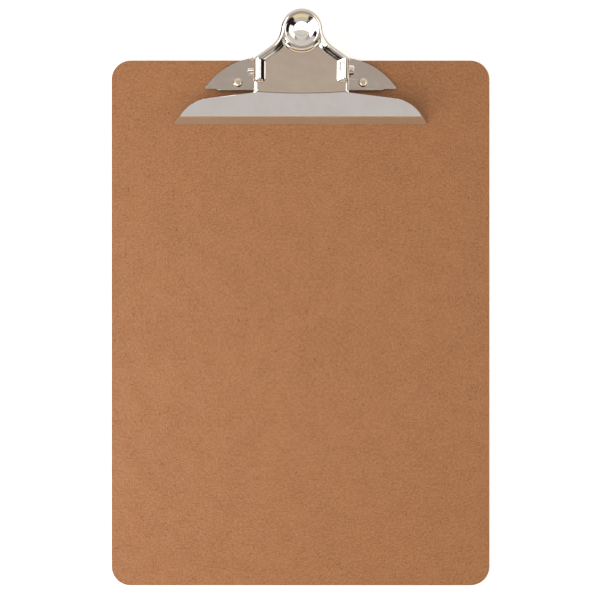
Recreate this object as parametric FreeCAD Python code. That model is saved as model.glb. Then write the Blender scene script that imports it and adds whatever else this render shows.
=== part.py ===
import FreeCAD, Part
import math
import os

from FreeCAD import Vector

# Clipboard with a nickel-plated spring clip. Millimetres.
# Origin: centre of the board's back face. +X right, +Y towards the clip, +Z out of the paper side.

# ---- board -------------------------------------------------------------------
BOARD_WIDTH = 228.6            # 9 inches
BOARD_LENGTH = 317.5           # 12.5 inches
BOARD_THICKNESS = 3.2          # 1/8 inch hardboard
BOARD_CORNER_RADIUS = 11.5
BOARD_EDGE_ROUND = 0.5

# ---- sheet metal -------------------------------------------------------------
JAW_SHEET = 0.9
BASE_SHEET = 1.0

# ---- hinge -------------------------------------------------------------------
PIVOT_Y = 151.55
PIVOT_Z = BOARD_THICKNESS + 11.0
PIN_RADIUS = 1.2
PIN_PRESS_GAP = 0.02           # pin in the fixed ears
PIN_RUNNING_GAP = 0.05         # pin in the turning flanges
PIN_HEAD_RADIUS = 2.95
PIN_HEAD_HEIGHT = 3.2
PIN_HEAD_ROUND = 0.8
PIN_HEAD_GAP = 0.15            # head to the right flange
PIN_TAIL_LENGTH = 3.4          # plain end beyond the left flange
PIN_TAIL_ROUND = 0.5

# ---- jaw and lever, one stamping ----------------------------------------------
LIP_Y = 120.15                 # line where the jaw meets the paper
LIP_LIFT = 0.10                # jaw's edge above the board at rest
LIP_BEND_Y = 124.0
LIP_BEND_Z = BOARD_THICKNESS + 9.34
CREASE_Y = 138.15              # bend between the sloping blade and the lever
CREASE_Z = BOARD_THICKNESS + 17.5
LEVER_TILT = 14.0              # degrees, rising towards the ring
LIP_BEND_RADIUS = 2.2
CREASE_RADIUS = 1.6
JAW_HALF_WIDTH = 76.2          # the jaw is 6 inches wide
JAW_SIDE_CUT_Y = 120.4
JAW_SHOULDER = ((72.5, 124.3), (65.9, 130.75), (57.0, 133.9))   # arc at each end of the blade

BLADE_ROOT_Y = 137.3           # rear edge of the blade beside the lever
BLADE_RUN_ON = 3.0             # the blade's sheet goes on past the crease as the lever's

LEVER_HALF_WIDTH = 28.5
FLANGE_BEND_RADIUS = 2.0
FLANGE_LENGTH = 21.0           # along the lever, from the crease to the flange's rear corner
FLANGE_HUB_RADIUS = 5.5
HUB_FRONT_ANGLE = 205.0        # degrees from +Y, where the flange's front edge meets its hub
HUB_REAR_ANGLE = -20.0
FLANGE_FRONT_BACK = 0.4        # crease to the top of the flange's front edge, along Y and down
FLANGE_FRONT_DROP = 2.5
FLANGE_REAR_DROP = 3.5
RING_DISTANCE = 36.9           # crease to ring centre, along the lever
RING_RADIUS = 12.9             # outside of the rim
NECK_RADIUS = 15.0             # hollow curve between the straight shoulder and the ring
SHOULDER_ANGLE = 35.5          # degrees, straight shoulder of the bell outline
RIM_DEPTH = 3.0                # turned-down rim behind the flanges
BEAD_HEIGHT = 2.0
BEAD_HALF_WIDTH = 2.4
BEAD_INSET = 3.1               # crest of the side beads, in from the flange's outer face
SHOULDER_BEAD_INSET = 2.5      # the same, along the slanted shoulders
BEAD_START = 7.0               # crease to the middle of the bead's rounded lower end
RING_BEAD_RADIUS = 10.45       # crest of the ring
HOLE_RADIUS = 4.8
HOLE_COLLAR_WALL = 0.9
HOLE_COLLAR_DEPTH = 1.6

# ---- base plate --------------------------------------------------------------
PLATE_TOP = BOARD_THICKNESS + 2.4
PLATE_FRONT_Y = 139.75
PLATE_BEND_RADIUS = 1.3
WING_TIP_X = 57.7
WING_TIP_Y = 141.4
WING_NOTCH_X = 46.5            # the turned-down front edge ends here
WING_NOTCH_RUN = 4.5
WING_ARC = ((57.7, 142.0), (46.6, 153.1), (30.1, 159.8))
TONGUE_BEND_Y = 173.4
TONGUE_END_Y = 177.4
TONGUE_DROP = 3.4
TONGUE_RADIUS = 8.0
TONGUE_BEND_RADIUS = 3.0
EAR_OUTER_X = 27.2
EAR_SHEET = 1.1
EAR_HALF_LENGTH = 5.0
WINDOW_INNER_X = 13.0          # each ear is bent up out of a window in the plate

# ---- rivets --------------------------------------------------------------------
RIVET_X = 37.75
RIVET_Y = 145.15
RIVET_HEAD_RADIUS = 2.8
RIVET_HEAD_HEIGHT = 1.25
RIVET_SHANK_RADIUS = 1.85
RIVET_HOLE_RADIUS = 1.95
COLLAR_WALL = 0.9
RECESS_RADIUS = 4.8            # recess in the board's back, so that it lies flat
RECESS_DEPTH = 1.25
WASHER_RADIUS = 4.4
WASHER_THICKNESS = 0.5
CLINCH_RADIUS = 3.1
CLINCH_THICKNESS = 0.55
CLINCH_ROUND = 0.44
CLINCH_HOLLOW = 1.1            # radius at the mouth of the tail's blind hole
CLINCH_HOLLOW_END = 0.825
CLINCH_HOLLOW_DEPTH = 2.19

# ---- torsion springs -------------------------------------------------------------
SPRING_WIRE_RADIUS = 0.75
SPRING_COIL_RADIUS = 2.9
SPRING_OUTER_X = 23.5          # coil end with the leg on the base plate
SPRING_INNER_X = 12.5          # coil end with the leg under the lever
SPRING_TURNS = 7               # whole turns, less the angle between the two legs
BASE_LEG_ANGLE = -27.0         # degrees from +Y
BASE_LEG_LENGTH = 9.6
BASE_LEG_FOOT = 1.6
LEVER_LEG_ANGLE = 29.5
LEVER_LEG_LENGTH = 15.6
LEVER_LEG_FOOT = 4.0

# ---- building aids ---------------------------------------------------------------
OVERLAP = 0.2                  # how far joined shapes reach into each other
SPARE = 1.0                    # how far cutting shapes reach past what they cut
FAR = 60.0                     # beyond the whole clip


def box(x0, x1, y0, y1, z0, z1):
    return Part.makeBox(x1 - x0, y1 - y0, z1 - z0, Vector(x0, y0, z0))


def cylinder_x(radius, x0, x1, y=PIVOT_Y, z=PIVOT_Z):
    return Part.makeCylinder(radius, x1 - x0, Vector(x0, y, z), Vector(1, 0, 0))


def cylinder_z(radius, z0, z1, x, y):
    return Part.makeCylinder(radius, z1 - z0, Vector(x, y, z0), Vector(0, 0, 1))


def direction_yz(degrees):
    angle = math.radians(degrees)
    return Vector(0, math.cos(angle), math.sin(angle))


def mirrored(shape):
    return shape.mirror(Vector(0, 0, 0), Vector(1, 0, 0))


def rounded_edges(points, radii):
    """Straight runs joined by tangent arcs; radii holds one radius per inner point."""
    edges = []
    start = points[0]
    for index, radius in enumerate(radii):
        corner = points[index + 1]
        back = (points[index] - corner).normalize()
        ahead = (points[index + 2] - corner).normalize()
        half = back.getAngle(ahead) / 2
        reach = radius / math.tan(half)
        middle = (back + ahead).normalize()
        centre = corner + middle * (radius / math.sin(half))
        first = corner + back * reach
        last = corner + ahead * reach
        edges.append(Part.LineSegment(start, first).toShape())
        edges.append(Part.Arc(first, centre - middle * radius, last).toShape())
        start = last
    edges.append(Part.LineSegment(start, points[-1]).toShape())
    return edges


def sheet_profile(points, radii, thickness):
    """Closed face of a bent sheet in the YZ plane: outer line through points, inner line offset.

    radii are those of the outer line, and the sheet lies to the right of the direction of travel.
    A bend that turns the other way, whose inside is on the outer line, has a negative radius.
    """
    offsets = []
    for index in range(len(points) - 1):
        run = (points[index + 1] - points[index]).normalize()
        offsets.append(Vector(0, run.z, -run.y) * thickness)
    inner = [points[0] + offsets[0]]
    for index in range(1, len(points) - 1):
        before = offsets[index - 1]
        after = offsets[index]
        mean = (before + after).normalize()
        inner.append(points[index] + mean * (thickness / math.cos(before.getAngle(after) / 2)))
    inner.append(points[-1] + offsets[-1])
    outer_radii = [abs(radius) for radius in radii]
    inner_radii = [abs(radius) - math.copysign(thickness, radius) for radius in radii]
    edges = rounded_edges(points, outer_radii)
    edges += rounded_edges(inner, inner_radii)
    edges.append(Part.LineSegment(points[0], inner[0]).toShape())
    edges.append(Part.LineSegment(points[-1], inner[-1]).toShape())
    return Part.Face(Part.Wire(Part.__sortEdges__(edges)))


def prism_x(face, half_width):
    solid = face.extrude(Vector(2 * half_width, 0, 0))
    solid.translate(Vector(-half_width, 0, 0))
    return solid


def prism_z(edges, z0, z1):
    face = Part.Face(Part.Wire(Part.__sortEdges__(edges)))
    face.translate(Vector(0, 0, z0))
    return face.extrude(Vector(0, 0, z1 - z0))


def line(a, b):
    return Part.LineSegment(Vector(a[0], a[1], 0), Vector(b[0], b[1], 0)).toShape()


def arc(a, b, c):
    return Part.Arc(Vector(a[0], a[1], 0), Vector(b[0], b[1], 0), Vector(c[0], c[1], 0)).toShape()


def flip(point):
    return (-point[0], point[1])


# ---- board ---------------------------------------------------------------------
def make_board():
    board = box(-BOARD_WIDTH / 2, BOARD_WIDTH / 2, -BOARD_LENGTH / 2, BOARD_LENGTH / 2,
                0, BOARD_THICKNESS)
    upright = [edge for edge in board.Edges if abs(edge.tangentAt(0).z) > 0.99]
    board = board.makeFillet(BOARD_CORNER_RADIUS, upright)
    flat = [edge for edge in board.Edges if edge.BoundBox.ZLength < 0.01]
    board = board.makeFillet(BOARD_EDGE_ROUND, flat)
    for x in (-RIVET_X, RIVET_X):
        through = BOARD_THICKNESS + SPARE
        board = board.cut(cylinder_z(RIVET_HOLE_RADIUS, -SPARE, through, x, RIVET_Y))
        board = board.cut(cylinder_z(RECESS_RADIUS, -SPARE, RECESS_DEPTH, x, RIVET_Y))
    return board


# ---- base plate ------------------------------------------------------------------
def tongue_taper_end():
    """Point where the tongue's straight side, from the wing arc's rear end, meets its round end."""
    start = WING_ARC[2]
    centre = (0, TONGUE_END_Y - TONGUE_RADIUS)
    dx = start[0] - centre[0]
    dy = start[1] - centre[1]
    distance = math.hypot(dx, dy)
    turn = math.atan2(dy, dx) + math.acos(TONGUE_RADIUS / distance)
    return (centre[0] + TONGUE_RADIUS * math.cos(turn), centre[1] + TONGUE_RADIUS * math.sin(turn))


def base_plate_outline():
    notch_inner = (WING_NOTCH_X, PLATE_FRONT_Y - SPARE)
    notch_rim = (WING_NOTCH_X, PLATE_FRONT_Y + OVERLAP)
    notch_outer = (WING_NOTCH_X + WING_NOTCH_RUN, WING_TIP_Y)
    tip = (WING_TIP_X, WING_TIP_Y)
    taper = tongue_taper_end()
    side = [notch_inner, notch_rim, notch_outer, tip, WING_ARC[0]]
    edges = [line(flip(notch_inner), notch_inner)]
    for a, b in zip(side, side[1:]):
        edges += [line(a, b), line(flip(a), flip(b))]
    edges += [arc(*WING_ARC), arc(*[flip(point) for point in WING_ARC])]
    edges += [line(WING_ARC[2], taper), line(flip(WING_ARC[2]), flip(taper))]
    edges.append(arc(taper, (0, TONGUE_END_Y), flip(taper)))
    return edges


def make_ear():
    ear = box(EAR_OUTER_X - EAR_SHEET, EAR_OUTER_X, PIVOT_Y - EAR_HALF_LENGTH,
              PIVOT_Y + EAR_HALF_LENGTH, PLATE_TOP - BASE_SHEET, PIVOT_Z)
    return ear.fuse(cylinder_x(EAR_HALF_LENGTH, EAR_OUTER_X - EAR_SHEET, EAR_OUTER_X))


def make_base_plate():
    rise = Vector(0, PLATE_FRONT_Y, BOARD_THICKNESS)
    front = Vector(0, PLATE_FRONT_Y, PLATE_TOP)
    rear = Vector(0, TONGUE_BEND_Y, PLATE_TOP)
    end = Vector(0, TONGUE_END_Y + OVERLAP, PLATE_TOP - TONGUE_DROP)
    radii = [PLATE_BEND_RADIUS, TONGUE_BEND_RADIUS]
    profile = sheet_profile([rise, front, rear, end], radii, BASE_SHEET)
    plate = prism_x(profile, WING_TIP_X + SPARE)
    plate = plate.common(prism_z(base_plate_outline(), -FAR, FAR))
    for side in (-1, 1):
        x0, x1 = sorted((side * WINDOW_INNER_X, side * (EAR_OUTER_X - EAR_SHEET)))
        window = box(x0, x1, PIVOT_Y - EAR_HALF_LENGTH, PIVOT_Y + EAR_HALF_LENGTH,
                     0, PLATE_TOP + SPARE)
        plate = plate.cut(window)
        ear = make_ear()
        plate = plate.fuse(ear if side > 0 else mirrored(ear))
        x = side * RIVET_X
        collar = cylinder_z(RIVET_HOLE_RADIUS + COLLAR_WALL, BOARD_THICKNESS,
                            PLATE_TOP - BASE_SHEET / 2, x, RIVET_Y)
        plate = plate.fuse(collar)
        plate = plate.cut(cylinder_z(RIVET_HOLE_RADIUS, 0, PLATE_TOP + SPARE, x, RIVET_Y))
    reach = EAR_OUTER_X + SPARE
    bore = cylinder_x(PIN_RADIUS + PIN_PRESS_GAP, -reach, reach)
    return plate.cut(bore).removeSplitter()


# ---- jaw and lever ---------------------------------------------------------------
def lever_placement():
    """Lever frame: local X across, local Y along the lever from the crease, local Z out of it."""
    rotation = FreeCAD.Rotation(Vector(1, 0, 0), LEVER_TILT)
    return FreeCAD.Placement(Vector(0, CREASE_Y, CREASE_Z), rotation)


def on_lever(shape):
    placed = shape.copy()
    placed.Placement = lever_placement().multiply(placed.Placement)
    return placed


def neck():
    """Centre of the hollow neck curve, and its tangent points on the shoulder and on the ring."""
    angle = math.radians(SHOULDER_ANGLE)
    normal = (math.sin(angle), math.cos(angle))
    corner = (LEVER_HALF_WIDTH, FLANGE_LENGTH)
    reach = RING_RADIUS + NECK_RADIUS
    offset = normal[0] * -corner[0] + normal[1] * (RING_DISTANCE - corner[1])
    turn = math.pi / 2 - angle - math.acos((NECK_RADIUS - offset) / reach)
    centre = (reach * math.cos(turn), RING_DISTANCE + reach * math.sin(turn))
    on_shoulder = (centre[0] - NECK_RADIUS * normal[0], centre[1] - NECK_RADIUS * normal[1])
    on_ring = (RING_RADIUS * math.cos(turn), RING_DISTANCE + RING_RADIUS * math.sin(turn))
    return centre, on_shoulder, on_ring


def bell_edges(inset=0.0):
    """Outline of the lever behind the flanges, in the lever frame, moved inwards by inset."""
    angle = math.radians(SHOULDER_ANGLE)
    normal = (math.sin(angle), math.cos(angle))
    centre, on_shoulder, on_ring = neck()
    a = (on_shoulder[0] - inset * normal[0], on_shoulder[1] - inset * normal[1])
    half = LEVER_HALF_WIDTH - inset
    rise = (half - a[0]) * math.tan(angle)
    corner = (half, a[1] - rise)
    ratio = (NECK_RADIUS + inset) / NECK_RADIUS
    b = (centre[0] + (on_ring[0] - centre[0]) * ratio, centre[1] + (on_ring[1] - centre[1]) * ratio)
    bisector = ((a[0] + b[0]) / 2 - centre[0], (a[1] + b[1]) / 2 - centre[1])
    length = math.hypot(*bisector)
    radius = NECK_RADIUS + inset
    middle = (centre[0] + bisector[0] * radius / length, centre[1] + bisector[1] * radius / length)
    base = (half, 0)
    top = (0, RING_DISTANCE + RING_RADIUS - inset)
    edges = [line(flip(base), base)]
    for p, q in ((base, corner), (corner, a)):
        edges += [line(p, q), line(flip(p), flip(q))]
    edges += [arc(a, middle, b), arc(flip(a), flip(middle), flip(b))]
    edges.append(arc(b, top, flip(b)))
    return edges


def jaw_outline():
    """Plan outline of the blade and lip."""
    rear = CREASE_Y + BLADE_RUN_ON
    root = (LEVER_HALF_WIDTH, BLADE_ROOT_Y)
    shoulder = list(JAW_SHOULDER)
    front = (JAW_HALF_WIDTH, LIP_Y - SPARE)
    cut = (JAW_HALF_WIDTH, JAW_SIDE_CUT_Y)
    side = [front, cut, shoulder[0]]
    edges = [line(flip(front), front)]
    for a, b in zip(side, side[1:]):
        edges += [line(a, b), line(flip(a), flip(b))]
    edges += [arc(*shoulder), arc(*[flip(point) for point in shoulder])]
    behind = (LEVER_HALF_WIDTH, rear)
    for a, b in ((shoulder[2], root), (root, behind)):
        edges += [line(a, b), line(flip(a), flip(b))]
    edges.append(line(flip(behind), behind))
    return edges


def make_blade():
    lip = Vector(0, LIP_Y, BOARD_THICKNESS + LIP_LIFT)
    bend = Vector(0, LIP_BEND_Y, LIP_BEND_Z)
    crease = Vector(0, CREASE_Y, CREASE_Z)
    lever = crease + direction_yz(LEVER_TILT) * BLADE_RUN_ON
    profile = sheet_profile([lip, bend, crease, lever], [LIP_BEND_RADIUS, CREASE_RADIUS], JAW_SHEET)
    blade = prism_x(profile, JAW_HALF_WIDTH + SPARE)
    return blade.common(prism_z(jaw_outline(), BOARD_THICKNESS + LIP_LIFT, FAR))


def make_lever_channel():
    """The panel between the flanges with the flanges bent down, in the lever frame."""
    half = LEVER_HALF_WIDTH
    depth = CREASE_Z
    outer = [Vector(-half, 0, -depth), Vector(-half, 0, 0), Vector(half, 0, 0), Vector(half, 0, -depth)]
    t = JAW_SHEET
    inner = [Vector(-half + t, 0, -depth), Vector(-half + t, 0, -t),
             Vector(half - t, 0, -t), Vector(half - t, 0, -depth)]
    edges = rounded_edges(outer, [FLANGE_BEND_RADIUS] * 2)
    edges += rounded_edges(inner, [FLANGE_BEND_RADIUS - t] * 2)
    edges.append(Part.LineSegment(outer[0], inner[0]).toShape())
    edges.append(Part.LineSegment(outer[-1], inner[-1]).toShape())
    section = Part.Face(Part.Wire(Part.__sortEdges__(edges)))
    return section.extrude(Vector(0, FLANGE_LENGTH, 0))


def flange_limit():
    """Side view of the space that the flanges may fill: panel to hub, in the YZ plane."""
    along = direction_yz(LEVER_TILT)
    crease = Vector(0, CREASE_Y, CREASE_Z)
    rear = crease + along * (FLANGE_LENGTH + SPARE)
    top_front = crease + Vector(0, 0, 2 * SPARE)
    top_rear = rear + Vector(0, 0, 2 * SPARE)
    panel_rear = rear - Vector(0, 0, FLANGE_REAR_DROP)
    front = crease + Vector(0, FLANGE_FRONT_BACK, -FLANGE_FRONT_DROP)
    hub = Vector(0, PIVOT_Y, PIVOT_Z)
    hub_front = hub + direction_yz(HUB_FRONT_ANGLE) * FLANGE_HUB_RADIUS
    hub_rear = hub + direction_yz(HUB_REAR_ANGLE) * FLANGE_HUB_RADIUS
    hub_bottom = hub + direction_yz(-90) * FLANGE_HUB_RADIUS
    points = [hub_rear, panel_rear, top_rear, top_front, front, hub_front]
    edges = [Part.LineSegment(a, b).toShape() for a, b in zip(points, points[1:])]
    edges.append(Part.Arc(hub_front, hub_bottom, hub_rear).toShape())
    return prism_x(Part.Face(Part.Wire(Part.__sortEdges__(edges))), LEVER_HALF_WIDTH + SPARE)


def make_bell():
    """Flat panel of the whole lever and the turned-down rim behind the flanges."""
    panel = prism_z(bell_edges(), -JAW_SHEET, 0)
    hollow = prism_z(bell_edges(JAW_SHEET), -RIM_DEPTH - SPARE, SPARE)
    rim = prism_z(bell_edges(), -RIM_DEPTH, 0).cut(hollow)
    keep = box(-FAR, FAR, FLANGE_LENGTH, FAR, -FAR, FAR)
    bell = panel.common(keep).fuse(rim.common(keep))
    return on_lever(bell)


def bead_section(crest_x):
    """Rounded ridge of the bead in the local XZ plane, standing on the panel's outer face."""
    left = Vector(crest_x - BEAD_HALF_WIDTH, 0, -OVERLAP)
    right = Vector(crest_x + BEAD_HALF_WIDTH, 0, -OVERLAP)
    crest = Vector(crest_x, 0, BEAD_HEIGHT)
    edges = [Part.Arc(left, crest, right).toShape(), Part.LineSegment(right, left).toShape()]
    return Part.Face(Part.Wire(edges))


def make_beads():
    """The raised bead up each side and along each shoulder, and the ring that they run into."""
    crest_x = LEVER_HALF_WIDTH - BEAD_INSET
    angle = math.radians(SHOULDER_ANGLE)
    _, on_shoulder, on_ring = neck()
    normal = Vector(math.sin(angle), math.cos(angle), 0)
    shoulder = Vector(on_shoulder[0], on_shoulder[1], 0) - normal * SHOULDER_BEAD_INSET
    corner_y = shoulder.y - (crest_x - shoulder.x) * math.tan(angle)
    corner = Vector(crest_x, corner_y, 0)
    ring = Vector(0, RING_DISTANCE, 0)
    straight = bead_section(crest_x).extrude(Vector(0, corner_y - BEAD_START, 0))
    straight.translate(Vector(0, BEAD_START, 0))
    join = ring + (shoulder - ring).normalize() * RING_BEAD_RADIUS
    slanted = bead_section(0)
    run = join - corner
    slanted = slanted.extrude(Vector(0, run.Length, 0))
    slanted.rotate(Vector(0, 0, 0), Vector(0, 0, 1), math.degrees(math.atan2(run.y, run.x)) - 90)
    slanted.translate(corner)
    half_section = bead_section(0).common(box(-FAR, 0, -FAR, FAR, -FAR, FAR))
    cap = half_section.revolve(Vector(0, 0, 0), Vector(0, 0, 1), 360)
    foot = cap.copy()
    foot.translate(Vector(crest_x, BEAD_START, 0))
    knee = cap.copy()
    knee.translate(corner)
    crown = bead_section(RING_BEAD_RADIUS).revolve(Vector(0, 0, 0), Vector(0, 0, 1), 360)
    crown.translate(ring)
    side = straight.fuse([slanted, foot, knee])
    return on_lever(side.fuse([mirrored(side), crown]))


def make_hole_collar():
    """Turned-down collar round the hanging hole, in the lever frame."""
    centre = Vector(0, RING_DISTANCE, -HOLE_COLLAR_DEPTH)
    collar = Part.makeCylinder(HOLE_RADIUS + HOLE_COLLAR_WALL, HOLE_COLLAR_DEPTH, centre)
    return on_lever(collar)


def make_jaw_plate():
    channel = on_lever(make_lever_channel()).common(flange_limit())
    jaw = make_blade().fuse([channel, make_bell(), make_beads(), make_hole_collar()])
    hole_low = Vector(0, RING_DISTANCE, -HOLE_COLLAR_DEPTH - SPARE)
    hole = Part.makeCylinder(HOLE_RADIUS, HOLE_COLLAR_DEPTH + BEAD_HEIGHT + 2 * SPARE, hole_low)
    jaw = jaw.cut(on_lever(hole))
    reach = LEVER_HALF_WIDTH + SPARE
    bore = cylinder_x(PIN_RADIUS + PIN_RUNNING_GAP, -reach, reach)
    return jaw.cut(bore).removeSplitter()


# ---- hinge pin -------------------------------------------------------------------
def make_hinge_pin():
    left = -LEVER_HALF_WIDTH - PIN_TAIL_LENGTH
    right = LEVER_HALF_WIDTH + PIN_HEAD_GAP
    shank = cylinder_x(PIN_RADIUS, left, right)
    tail = [edge for edge in shank.Edges if abs(edge.BoundBox.XMax - left) < 0.01]
    shank = shank.makeFillet(PIN_TAIL_ROUND, tail)
    head = cylinder_x(PIN_HEAD_RADIUS, right, right + PIN_HEAD_HEIGHT)
    outer = [edge for edge in head.Edges
             if edge.BoundBox.XLength < 0.01 and edge.BoundBox.XMax > right + 1]
    head = head.makeFillet(PIN_HEAD_ROUND, outer)
    return shank.fuse(head).removeSplitter()


# ---- springs ---------------------------------------------------------------------
def rod(start, end):
    run = end - start
    return Part.makeCylinder(SPRING_WIRE_RADIUS, run.Length, start, run)


def ball(centre):
    return Part.makeSphere(SPRING_WIRE_RADIUS, centre)


def make_spring_leg(x, angle, length, foot_angle, foot, side):
    """Straight leg leaving the coil on a tangent, with a short foot bent at its end."""
    run = direction_yz(angle)
    start = Vector(x, PIVOT_Y, PIVOT_Z) + direction_yz(angle + side * 90) * SPRING_COIL_RADIUS
    knee = start + run * length
    end = knee + direction_yz(foot_angle) * foot
    return rod(start, knee).fuse([rod(knee, end), ball(start), ball(knee), ball(end)])


def make_spring_right():
    start_angle = BASE_LEG_ANGLE - 90
    sweep = 360 * SPRING_TURNS + start_angle - (LEVER_LEG_ANGLE + 90)
    length = SPRING_OUTER_X - SPRING_INNER_X
    pitch = length / (sweep / 360)
    helix = Part.makeHelix(pitch, length, SPRING_COIL_RADIUS)
    section = Part.Circle(Vector(SPRING_COIL_RADIUS, 0, 0), Vector(0, 1, 0), SPRING_WIRE_RADIUS)
    coil = Part.Wire(helix).makePipeShell([Part.Wire(section.toShape())], True, True)
    z_axis = Vector(-1, 0, 0)
    x_axis = direction_yz(start_angle)
    y_axis = z_axis.cross(x_axis)
    centre = Vector(SPRING_OUTER_X, PIVOT_Y, PIVOT_Z)
    matrix = FreeCAD.Matrix(x_axis.x, y_axis.x, z_axis.x, centre.x,
                            x_axis.y, y_axis.y, z_axis.y, centre.y,
                            x_axis.z, y_axis.z, z_axis.z, centre.z,
                            0, 0, 0, 1)
    coil = coil.transformShape(matrix)
    base_leg = make_spring_leg(SPRING_OUTER_X, BASE_LEG_ANGLE, BASE_LEG_LENGTH, 0,
                               BASE_LEG_FOOT, -1)
    lever_leg = make_spring_leg(SPRING_INNER_X, LEVER_LEG_ANGLE, LEVER_LEG_LENGTH, LEVER_TILT,
                                LEVER_LEG_FOOT, 1)
    return coil.fuse([base_leg, lever_leg])


# ---- rivets ----------------------------------------------------------------------
def make_rivet(x):
    top = PLATE_TOP
    height = RIVET_HEAD_HEIGHT
    radius = (RIVET_HEAD_RADIUS ** 2 + height ** 2) / (2 * height)
    dome = Part.makeSphere(radius, Vector(x, RIVET_Y, top + height - radius))
    dome = dome.common(cylinder_z(RIVET_HEAD_RADIUS + SPARE, top, FAR, x, RIVET_Y))
    tail_top = RECESS_DEPTH - WASHER_THICKNESS
    tail_bottom = tail_top - CLINCH_THICKNESS
    shank = cylinder_z(RIVET_SHANK_RADIUS, tail_bottom, top, x, RIVET_Y)
    clinch = cylinder_z(CLINCH_RADIUS, tail_bottom, tail_top, x, RIVET_Y)
    lower = [edge for edge in clinch.Edges if edge.BoundBox.ZMax < tail_bottom + 0.01]
    clinch = clinch.makeFillet(CLINCH_ROUND, lower)
    rivet = dome.fuse([shank, clinch])
    hollow = Part.makeCone(CLINCH_HOLLOW, CLINCH_HOLLOW_END, CLINCH_HOLLOW_DEPTH,
                           Vector(x, RIVET_Y, tail_bottom), Vector(0, 0, 1))
    return rivet.cut(hollow).removeSplitter()


def make_rivet_washer(x):
    bottom = RECESS_DEPTH - WASHER_THICKNESS
    washer = cylinder_z(WASHER_RADIUS, bottom, RECESS_DEPTH, x, RIVET_Y)
    hole = cylinder_z(RIVET_HOLE_RADIUS, bottom - SPARE, RECESS_DEPTH + SPARE, x, RIVET_Y)
    return washer.cut(hole)


def main():
    spring_right = make_spring_right()
    parts = {
        "board": make_board(),
        "base_plate": make_base_plate(),
        "jaw_plate": make_jaw_plate(),
        "hinge_pin": make_hinge_pin(),
        "spring_right": spring_right,
        "spring_left": mirrored(spring_right),
        "rivet_left": make_rivet(-RIVET_X),
        "rivet_right": make_rivet(RIVET_X),
        "rivet_washer_left": make_rivet_washer(-RIVET_X),
        "rivet_washer_right": make_rivet_washer(RIVET_X),
    }
    os.makedirs("parts", exist_ok=True)
    for name, shape in parts.items():
        box_of = shape.BoundBox
        print(name, "valid", shape.isValid(), "solids", len(shape.Solids),
              "volume", round(shape.Volume, 2),
              "x", round(box_of.XMin, 2), round(box_of.XMax, 2),
              "y", round(box_of.YMin, 2), round(box_of.YMax, 2),
              "z", round(box_of.ZMin, 2), round(box_of.ZMax, 2))
        shape.exportStep(os.path.join("parts", name + ".step"))


main()
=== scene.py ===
import math

import bmesh
import bpy
import numpy as np
from mathutils import Matrix, Vector
from mathutils.geometry import delaunay_2d_cdt


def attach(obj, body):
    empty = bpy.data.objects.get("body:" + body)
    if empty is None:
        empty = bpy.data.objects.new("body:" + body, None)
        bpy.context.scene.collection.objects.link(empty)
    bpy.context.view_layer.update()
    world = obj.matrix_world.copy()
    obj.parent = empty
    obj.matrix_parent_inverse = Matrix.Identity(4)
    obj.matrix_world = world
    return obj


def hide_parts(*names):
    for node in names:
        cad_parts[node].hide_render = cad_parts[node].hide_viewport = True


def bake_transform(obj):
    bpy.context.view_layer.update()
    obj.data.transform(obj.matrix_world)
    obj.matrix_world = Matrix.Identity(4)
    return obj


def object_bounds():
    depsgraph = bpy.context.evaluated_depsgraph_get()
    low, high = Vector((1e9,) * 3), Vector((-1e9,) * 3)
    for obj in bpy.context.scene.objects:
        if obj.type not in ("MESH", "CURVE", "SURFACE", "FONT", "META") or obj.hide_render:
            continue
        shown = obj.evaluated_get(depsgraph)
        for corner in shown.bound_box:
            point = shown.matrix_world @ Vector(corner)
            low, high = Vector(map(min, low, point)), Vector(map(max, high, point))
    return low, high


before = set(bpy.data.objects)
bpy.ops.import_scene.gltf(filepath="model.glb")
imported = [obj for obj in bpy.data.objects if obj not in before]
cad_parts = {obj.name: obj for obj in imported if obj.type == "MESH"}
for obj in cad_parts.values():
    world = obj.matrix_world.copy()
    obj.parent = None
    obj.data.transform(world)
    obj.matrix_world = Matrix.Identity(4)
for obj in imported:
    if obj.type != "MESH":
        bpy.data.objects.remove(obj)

cad_low, cad_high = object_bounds()

# Lengths below are millimetres in the CAD frame; meshes are scaled to metres when they are made.
MM = 0.001
JOIN = 0.002                   # points nearer than this are one point

BOARD_TOP = 3.2
PIVOT = (151.55, 14.2)         # Y and Z of the hinge line

# ---- jaw and lever -------------------------------------------------------------
SHEET = 0.9
CREASE = (138.15, 20.7)        # Y and Z of the bend between blade and lever
TILT = math.radians(14.0)      # lever's rise towards the ring
LIP = (120.15, 3.3)
LIP_BEND = (124.0, 12.54)
LIP_BLEND = 0.67               # how softly the lip turns into the blade
CREASE_BLEND = 0.17
LIP_SIDE = ((120.15, 76.2), (120.4, 76.2))      # Y and half width along the lip's straight side
SHOULDER_ARC = ((72.5, 124.3), (65.9, 130.75), (57.0, 133.9))    # X and Y of three points on it
BLADE_ROOT = (28.5, 137.3)
HALF_WIDTH = 28.5              # lever, out to its flanges
BEND_RADIUS = 2.0
PANEL_SAG = 0.3
PANEL_START_V = 1.2            # panel's own mesh begins here, just past the crease
FLANGE_CORNER_V = 21.0
SHOULDER_TURN = math.radians(54.5)
SHOULDER_STRETCH_V = 15.0      # above this the outline's points spread to reach its own corner
CORNER_RADIUS_OUT = 1.2
CORNER_RADIUS_CREST = 1.0
NECK_RADIUS = 15.0
RING_V = 36.9
RING_RADIUS = 12.88
RING_CREST = 10.45
RIM_W = -3.0
RING_ROLL = 2.9                # height of the rolled edge round the ring
BEAD = 2.0                     # height of the bead's crest
BEAD_INSET = 3.1               # crest of the bead in from the lever's side
SHOULDER_INSET = 2.5
BEAD_FALL = 4.0                # width of the bead's inner slope
RING_FALL = 3.5
SLOPE_TOP = 0.45               # share of an inner slope that rounds over from the crest
SLOPE_FOOT = 0.2               # share that runs out at the foot
FOOT = (5.2, 8.2)              # bead rises between these distances from the crease
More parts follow.
